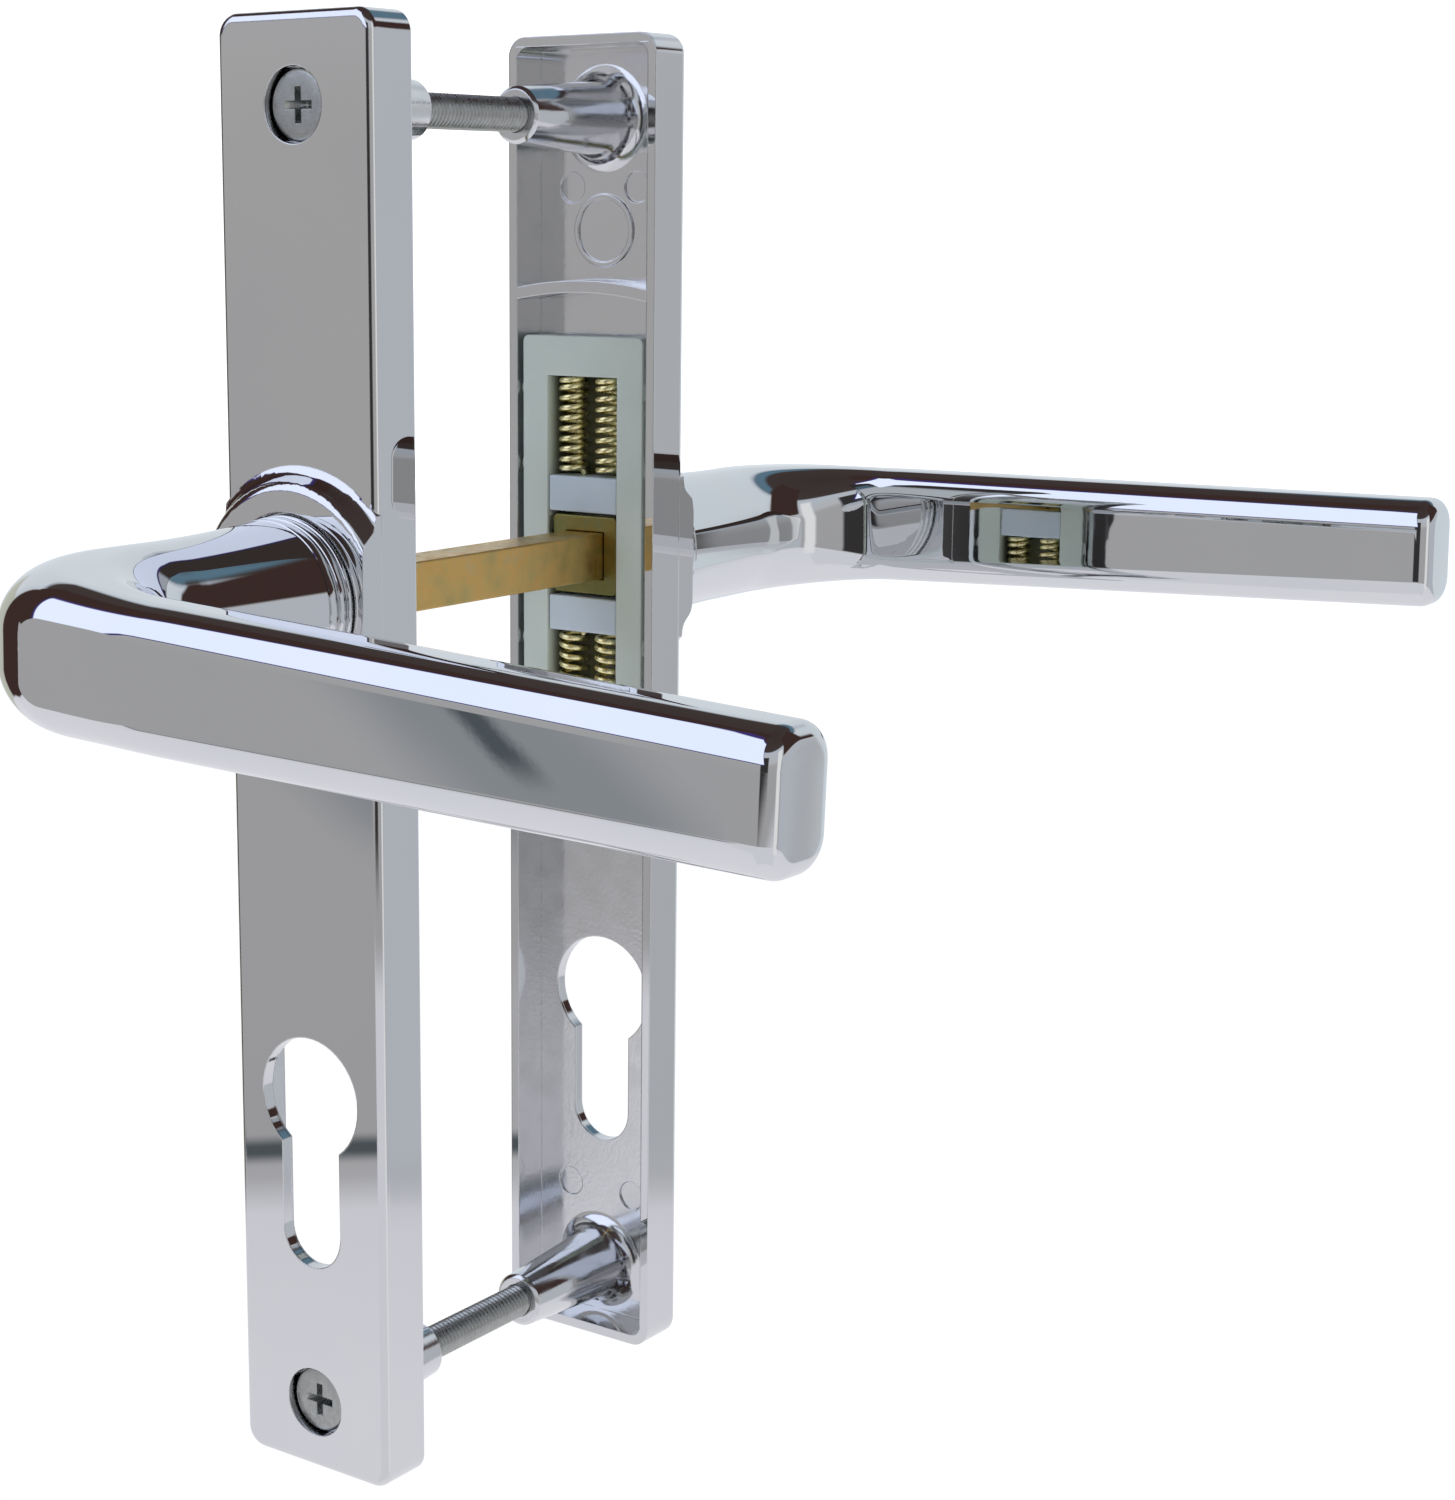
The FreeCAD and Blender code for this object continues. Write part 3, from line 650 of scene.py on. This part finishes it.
def weigh_crease(mesh, start):
    """Weigh the edge of the grip's flat face for a bevel that fades in as the edge grows sharper.

    The face starts with the ring whose first vertex is start."""
    corners = (0, SECTION_COUNTS[0])
    weights = mesh.attributes.new("bevel_weight_edge", "FLOAT", "EDGE")
    work = bmesh.new()
    work.from_mesh(mesh)
    for edge in work.edges:
        low, high = sorted(vertex.index for vertex in edge.verts)
        here, there = low - start, high - start
        across_end = 0 <= here and there <= corners[1] and there - here == 1
        along_side = here >= 0 and there - here == RING_SIZE and here % RING_SIZE in corners
        sharp = (edge.calc_face_angle(0.0) - CREASE_STARTS) / (CREASE_FULL - CREASE_STARTS)
        if (across_end or along_side) and sharp > 0.0:
            weights.data[edge.index].value = smooth(min(1.0, sharp))
    work.free()


def lever(name, body, grip_tilt, turned):
    """One lever as a single skin, from the bottom of its square socket round to the flat tip.

    The rear lever is the front one turned round the X axis."""
    socket = [square_ring(SOCKET_FLOOR_HALF, SOCKET_END), square_ring(SOCKET_HALF, SOCKET_END),
              square_ring(SOCKET_HALF, SHANK_END)]
    base = socket + shank_rings() + bead_rings()
    neck_start = (NECK_START - NECK_BASE_DEPTH) / (BEND_PIVOT[1] - NECK_BASE_DEPTH)
    upper = [neck_ring(mix(neck_start, 1.0, step / (NECK_RINGS - 1))) for step in range(NECK_RINGS)]
    upper += arm_rings()
    tilt = Matrix.Rotation(math.radians(grip_tilt), 3, "Y")
    rings = base + [[tuple(tilt @ Vector(point)) for point in ring] for ring in upper]
    vertices = [point for ring in rings for point in ring]
    faces = [tuple(reversed(face)) for face in tube_faces(len(rings), RING_SIZE)]
    last = (len(rings) - 1) * RING_SIZE
    faces.append(tuple(reversed(range(last, last + RING_SIZE))))
    faces.append(tuple(range(RING_SIZE)))
    if turned:
        vertices = [(x, -y, -z) for x, y, z in vertices]
    piece = mesh_piece(name + "_casting", vertices, faces, body, "chrome", LEVER_SMOOTH_ANGLE)
    face_ring = len(base) + NECK_RINGS + BEND_RINGS - 1
    weigh_crease(piece.data, face_ring * RING_SIZE)
    crease = piece.modifiers.new("crease", "BEVEL")
    crease.width = CREASE_WIDTH * MM
    crease.segments = 2
    crease.limit_method = "WEIGHT"
    crease.harden_normals = True
    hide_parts(name)


lever("front_lever", "front_handle", FRONT_GRIP_TILT, False)
lever("rear_lever", "rear_handle", REAR_GRIP_TILT, True)


# ---------------------------------------------------------------- springs

WIRE = 0.9
COIL_RADIUS = 1.85
COIL_PITCH = 1.55
SPRING_OFFSET = 3.4
SPRING_DEPTH = 30.5
SPRING_FOOT = 11.9
SPRING_END = 27.0
CLOSED_RISE = 1.02 * WIRE
STEPS_PER_TURN = 22
WIRE_SIDES = 9
SPRING_SMOOTH_ANGLE = 50.0


def coil_path():
    """The wire's turn and height along one spring: a closed turn at each end and open turns between."""
    low, high = SPRING_FOOT + WIRE / 2, SPRING_END - WIRE / 2
    open_turns = (high - low - 2 * CLOSED_RISE) / COIL_PITCH
    turns = open_turns + 2
    total = int(turns * STEPS_PER_TURN)
    path = []
    for step in range(total + 1):
        turn = turns * step / total
        height = low + CLOSED_RISE * min(turn, 1) + COIL_PITCH * max(0, min(turn - 1, open_turns))
        height += CLOSED_RISE * max(0, turn - 1 - open_turns)
        path.append((turn * 2 * math.pi, height))
    return path


def spring(node, x, depth_sign, up_sign):
    """A helical wire that stands on its slider."""
    vertices, path = [], coil_path()
    y = depth_sign * SPRING_DEPTH
    slope = math.atan2(COIL_PITCH, 2 * math.pi * COIL_RADIUS)
    for turn, height in path:
        outward = Vector((math.cos(turn), math.sin(turn), 0))
        upward = Vector((math.sin(turn) * math.sin(slope), -math.cos(turn) * math.sin(slope),
                         math.cos(slope)))
        middle = outward * COIL_RADIUS + Vector((0, 0, height))
        for side in range(WIRE_SIDES):
            angle = 2 * math.pi * side / WIRE_SIDES
            point = middle + (outward * math.cos(angle) + upward * math.sin(angle)) * WIRE / 2
            vertices.append((x + point.x, y + point.y, up_sign * point.z))
    faces = tube_faces(len(path), WIRE_SIDES)
    last = (len(path) - 1) * WIRE_SIDES
    faces += [tuple(reversed(range(WIRE_SIDES))), tuple(range(last, last + WIRE_SIDES))]
    if up_sign < 0:
        faces = [tuple(reversed(face)) for face in faces]
    piece = mesh_piece(node + "_coil", vertices, faces, "plates", "spring_steel", SPRING_SMOOTH_ANGLE)
    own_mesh(piece)
    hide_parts(node)


for plate, depth_sign in (("front", -1), ("rear", 1)):
    for half, up_sign in (("upper", 1), ("lower", -1)):
        for side, x in (("left", -SPRING_OFFSET), ("right", SPRING_OFFSET)):
            spring(f"{plate}_{half}_{side}_spring", x, depth_sign, up_sign)


# ---------------------------------------------------------------- fixing screws

SCREW_HEIGHTS = (65.0, -115.0)
SCREW_RADIUS = 2.48
PLAIN_ROD_RADIUS = 2.43
ROD_INTO_HEAD = 0.4
THREAD_PITCH = 0.8
THREAD_HEIGHT = 0.42
THREAD_START = -18.0
THREAD_RUN_IN = 1.0
THREAD_POWER = 0.8
RINGS_PER_THREAD = 8
SCREW_TIP = 28.0
TIP_CHAMFER = 0.6
HEAD_TOP = -34.5
HEAD_SEAT = -31.9
HEAD_RADIUS = 4.7
HEAD_EDGE = 0.5
HEAD_EDGE_STEPS = 6
RECESS_ARM = 2.4
RECESS_WIDTH = 1.1
RECESS_DEPTH = 1.9
SCREW_SIDES = 40
SCREW_SMOOTH_ANGLE = 28.0


def lathe_ring(radius_at, y, z):
    """A ring about the line at height z, whose radius may depend on the angle."""
    ring = []
    for index in range(SCREW_SIDES):
        angle = 2 * math.pi * index / SCREW_SIDES
        radius = radius_at(angle)
        ring.append((radius * math.cos(angle), y, z + radius * math.sin(angle)))
    return ring


def closed_rod(rings):
    """Vertices and faces of a rod through these rings, closed at both ends."""
    vertices = [point for ring in rings for point in ring]
    last = (len(rings) - 1) * SCREW_SIDES
    faces = tube_faces(len(rings), SCREW_SIDES)
    faces += [tuple(reversed(range(SCREW_SIDES))), tuple(range(last, last + SCREW_SIDES))]
    return vertices, faces


def screw_rod(z):
    """The shaft from inside the head to its chamfered tip, threaded from THREAD_START on."""
    plain_ends = (HEAD_SEAT - ROD_INTO_HEAD, THREAD_START - THREAD_RUN_IN)
    rings = [lathe_ring(lambda angle: PLAIN_ROD_RADIUS, y, z) for y in plain_ends]
    steps = int((SCREW_TIP - THREAD_START) / THREAD_PITCH * RINGS_PER_THREAD)
    for step in range(steps + 1):
        y = mix(THREAD_START, SCREW_TIP, step / steps)
        fade = min(1.0, (y - THREAD_START) / THREAD_PITCH)
        chamfer = SCREW_RADIUS - TIP_CHAMFER + (SCREW_TIP - y)

        def radius_at(angle, y=y, fade=fade, chamfer=chamfer):
            wave = 0.5 + 0.5 * math.cos(2 * math.pi * y / THREAD_PITCH - angle)
            return min(chamfer, SCREW_RADIUS - THREAD_HEIGHT * fade * (1 - wave ** THREAD_POWER))

        rings.append(lathe_ring(radius_at, y, z))
    return closed_rod(rings)


def screw_head(z):
    """The flat head with its soft edge. Its rings run the other way from the rod's."""
    profile = [(SCREW_RADIUS, HEAD_SEAT), (HEAD_RADIUS, HEAD_SEAT)]
    for step in range(HEAD_EDGE_STEPS + 1):
        angle = math.pi / 2 * step / HEAD_EDGE_STEPS
        profile.append((HEAD_RADIUS - HEAD_EDGE * (1 - math.cos(angle)),
                        HEAD_TOP + HEAD_EDGE * (1 - math.sin(angle))))
    profile.append((HEAD_RADIUS * 0.5, HEAD_TOP))
    rings = [lathe_ring(lambda angle, r=radius: r, y, z) for radius, y in profile]
    vertices, faces = closed_rod(rings)
    return vertices, [tuple(reversed(face)) for face in faces]


def cross_cutter(z):
    """A cross that tapers to a point, as a screwdriver leaves it, standing proud of the head."""
    arm, half = RECESS_ARM, RECESS_WIDTH / 2
    outline = []
    for quarter in range(4):
        angle = math.pi / 2 * quarter
        for along, across in ((half, -half), (arm, -half), (arm, half)):
            outline.append((along * math.cos(angle) - across * math.sin(angle),
                            along * math.sin(angle) + across * math.cos(angle)))
    levels = ((HEAD_TOP - 0.6, 1.12), (HEAD_TOP, 1.0), (HEAD_TOP + RECESS_DEPTH * 0.75, 0.62),
              (HEAD_TOP + RECESS_DEPTH, 0.22))
    size = len(outline)
    vertices = [(x * scale, y, z + up * scale) for y, scale in levels for x, up in outline]
    faces = tube_faces(len(levels), size)
    last = (len(levels) - 1) * size
    faces += [tuple(reversed(range(size))), tuple(range(last, last + size))]
    return vertices, faces


def solid_object(name, vertices, faces):
    """An object whose faces all look outwards, as the Boolean needs."""
    piece = new_object(name, vertices, faces)
    work = bmesh.new()
    work.from_mesh(piece.data)
    bmesh.ops.recalc_face_normals(work, faces=work.faces)
    work.to_mesh(piece.data)
    work.free()
    return piece


def recessed_head(z):
    """The head with its cross cut out, as plain coordinates and faces in millimetres."""
    head = solid_object("head", *screw_head(z))
    cutter = solid_object("cutter", *cross_cutter(z))
    cut = head.modifiers.new("cross", "BOOLEAN")
    cut.operation = "DIFFERENCE"
    cut.solver = "EXACT"
    cut.object = cutter
    bpy.context.view_layer.update()
    result = bpy.data.meshes.new_from_object(head.evaluated_get(bpy.context.evaluated_depsgraph_get()))
    vertices = [tuple(value / MM for value in vertex.co) for vertex in result.vertices]
    faces = [tuple(polygon.vertices) for polygon in result.polygons]
    for extra in (head, cutter):
        bpy.data.objects.remove(extra)
    bpy.data.meshes.remove(result)
    return vertices, faces


def fixing_screws():
    """Both screws as one piece."""
    vertices, faces = [], []
    for z in SCREW_HEIGHTS:
        for more_vertices, more_faces in (screw_rod(z), recessed_head(z)):
            first = len(vertices)
            vertices += more_vertices
            faces += [tuple(first + index for index in face) for face in more_faces]
    piece = mesh_piece("machine_screws", vertices, faces, "plates", "screw_steel", SCREW_SMOOTH_ANGLE)
    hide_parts("fixing_screws")


fixing_screws()


# ---------------------------------------------------------------- soft edges on the plain CAD pieces

WELD_DISTANCE = 0.002
FLAT_ANGLE = math.radians(0.5)
EDGE_ANGLE = math.radians(35)
PLATE_EDGE = 0.3
SMALL_EDGE = 0.22


def soften(node, width):
    """Round a CAD piece's sharp edges a little, as moulding or tumbling leaves them."""
    piece = frame["nodes"][node]
    weld = piece.modifiers.new("weld", "WELD")
    weld.merge_threshold = WELD_DISTANCE * MM
    flat = piece.modifiers.new("flat", "DECIMATE")
    flat.decimate_type = "DISSOLVE"
    flat.angle_limit = FLAT_ANGLE
    edges = piece.modifiers.new("edges", "BEVEL")
    edges.width = width * MM
    edges.segments = 3
    edges.limit_method = "ANGLE"
    edges.angle_limit = EDGE_ANGLE
    edges.harden_normals = True
    even = piece.modifiers.new("even", "WEIGHTED_NORMAL")
    even.keep_sharp = True


soften("spindle", SMALL_EDGE)
for plate in ("front", "rear"):
    soften(plate + "_backplate", PLATE_EDGE)
    for part in ("follower", "upper_slider", "lower_slider"):
        soften(f"{plate}_{part}", SMALL_EDGE)


# ---------------------------------------------------------------- studio

# Elevations and colours of the surroundings, from straight down to straight up
SKY = ((-90, (0.95, 0.95, 0.99)), (-24, (0.90, 0.90, 0.95)), (-20, (0.84, 0.84, 0.89)),
       (-19.6, (0.47, 0.465, 0.475)), (2, (0.50, 0.495, 0.495)), (10, (0.62, 0.63, 0.65)),
       (36, (0.62, 0.67, 0.74)), (39, (0.07, 0.055, 0.05)), (90, (0.06, 0.04, 0.04)))

PALE_WALL = (0.78, 0.84, 0.89)
GREY_WALL = (0.60, 0.63, 0.68)
OLIVE_WALL = (0.60, 0.61, 0.53)
BROWN = (0.060, 0.034, 0.030)
TEAL = (0.13, 0.23, 0.31)
BLACK = (0.045, 0.042, 0.043)
SHADE = (0.33, 0.35, 0.37)
DARK_SHADE = (0.10, 0.12, 0.13)
WINDOW = (1.15, 1.25, 1.5)
WINDOW_FRAME = (0.07, 0.045, 0.22)
STRIP = (1.0, 1.0, 1.0)
TABLE = (0.84, 0.84, 0.89)

# Patches painted over that in turn, in degrees: colour; compass angle of the middle, half the width;
# lowest and highest elevation; softness of the ends, then of the sides; turn per degree of rise
PATCHES = (
    (PALE_WALL, -155, 55, -20, 34, 1.0, 8, 0),
    (GREY_WALL, 120, 25, -20, 10, 1.0, 4, 0),
    (OLIVE_WALL, -108, 12, -20, 14, 1.0, 4, 0),
    (TEAL, -178, 28, 37, 46, 2.5, 4, 0),
    (BROWN, 122, 28, 12, 60, 1.5, 2, 0),
    (BROWN, -85, 13, -20, 75, 1.0, 1.5, 0),
    (BROWN, -64, 15, 4, 75, 1.0, 1.5, 0),
    (TABLE, 20, 57, -60, -15.5, 0.8, 2, 0),
    (BLACK, 9, 19, -13.5, 24, 1, 3, 0),
    (STRIP, 80, 9, -30, 30, 3, 3, 0),
    (SHADE, -38.6, 2.2, -13.0, -8.6, 0.8, 1.2, -1.0),
    (DARK_SHADE, -40.4, 0.35, -11.4, -8.8, 0.5, 0.25, -1.0),
    (DARK_SHADE, -48, 12, -19.3, -18.9, 0.15, 1.0, 0),
    (WINDOW_FRAME, -22, 32.5, 5, 61, 0.6, 1.0, -0.5),
    (WINDOW, -23, 30, 7, 58, 0.6, 1.0, -0.5),
)


def paint_patch(graph, azimuth, elevation, below, patch):
    """Lay one patch over the colour below it."""
    paint, centre, half, low, high, soft, soft_side, lean = patch
    turn = graph.math("SUBTRACT", azimuth, centre)
    if lean:
        rise = graph.math("SUBTRACT", elevation, low)
        turn = graph.math("SUBTRACT", turn, graph.math("MULTIPLY", rise, lean))
    wrapped = graph.add("ShaderNodeMath", operation="WRAP")
    graph.feed(wrapped.inputs[0], turn)
    wrapped.inputs[1].default_value = 180
    wrapped.inputs[2].default_value = -180
    apart = graph.math("ABSOLUTE", wrapped.outputs[0])
    aside = graph.ranged(apart, half - soft_side, half + soft_side, 1, 0)
    over = graph.ranged(elevation, low - soft, low + soft, 0, 1)
    under = graph.ranged(elevation, high - soft, high + soft, 1, 0)
    share = graph.math("MULTIPLY", aside, graph.math("MULTIPLY", over, under))
    return graph.mixed(share, below, paint)


def paint_world():
    """Surroundings told by compass angle (from -Y towards +X) and elevation, for the chrome to reflect."""
    world = bpy.data.worlds.new("studio")
    bpy.context.scene.world = world
    world.use_nodes = True
    graph = Graph(world.node_tree)
    direction = graph.add("ShaderNodeSeparateXYZ")
    graph.feed(direction.inputs[0], graph.add("ShaderNodeTexCoord").outputs["Generated"])
    degrees = 180 / math.pi
    elevation = graph.math("MULTIPLY", graph.math("ARCSINE", direction.outputs["Z"]), degrees)
    reversed_y = graph.math("MULTIPLY", direction.outputs["Y"], -1.0)
    azimuth = graph.math("MULTIPLY", graph.math("ARCTAN2", direction.outputs["X"], reversed_y), degrees)
    stops = [((angle + 90) / 180, color) for angle, color in SKY]
    color = graph.ramp(graph.ranged(elevation, -90, 90, kind="LINEAR"), stops)
    for patch in PATCHES:
        color = paint_patch(graph, azimuth, elevation, color, patch)
    background = graph.nodes["Background"]
    graph.feed(background.inputs["Color"], color)
    background.inputs["Strength"].default_value = 1.0


paint_world()

# The stage, in metres
STAGE_HALF = 2.6
STAGE_CURVE = 1.2
STAGE_HEIGHT = 5.0
STAGE_GAP = 0.0002
STAGE_SIDES = 96
CURVE_STEPS = 16


def stage_material():
    """Matt pale card, lit from within so that it stays nearly white."""
    material, graph, shader = new_material("pale_card", 0.0, (0.9, 0.9, 0.9), 0.9)
    speckle = graph.mixed(graph.noise(12, 3), (0.90, 0.90, 0.90), (0.93, 0.93, 0.93))
    graph.feed(shader.inputs["Base Color"], speckle)
    shader.inputs["Specular IOR Level"].default_value = 0.0
    shader.inputs["Emission Color"].default_value = (1.0, 1.0, 1.0, 1.0)
    shader.inputs["Emission Strength"].default_value = 1.0
    return material


def stage():
    """A round floor that curves up into a wall, seen from all sides without a horizon."""
    profile = [(STAGE_HALF - STAGE_CURVE, 0.0)]
    for step in range(1, CURVE_STEPS + 1):
        angle = math.pi / 2 * step / CURVE_STEPS
        profile.append((STAGE_HALF - STAGE_CURVE * (1 - math.sin(angle)),
                        STAGE_CURVE * (1 - math.cos(angle))))
    profile.append((STAGE_HALF, STAGE_HEIGHT))
    floor_z = cad_bounds[0].z - STAGE_GAP
    vertices = []
    for radius, height in profile:
        for index in range(STAGE_SIDES):
            angle = 2 * math.pi * index / STAGE_SIDES
            vertices.append((radius * math.cos(angle), radius * math.sin(angle), floor_z + height))
    faces = tube_faces(len(profile), STAGE_SIDES)
    faces.append(tuple(range(STAGE_SIDES)))
    mesh = bpy.data.meshes.new("backdrop")
    mesh.from_pydata(vertices, [], faces)
    mesh.shade_smooth()
    mesh.materials.append(stage_material())
    backdrop = bpy.data.objects.new("backdrop", mesh)
    bpy.context.scene.collection.objects.link(backdrop)
    backdrop.visible_glossy = False
    backdrop.visible_diffuse = False
    backdrop.visible_shadow = False


stage()
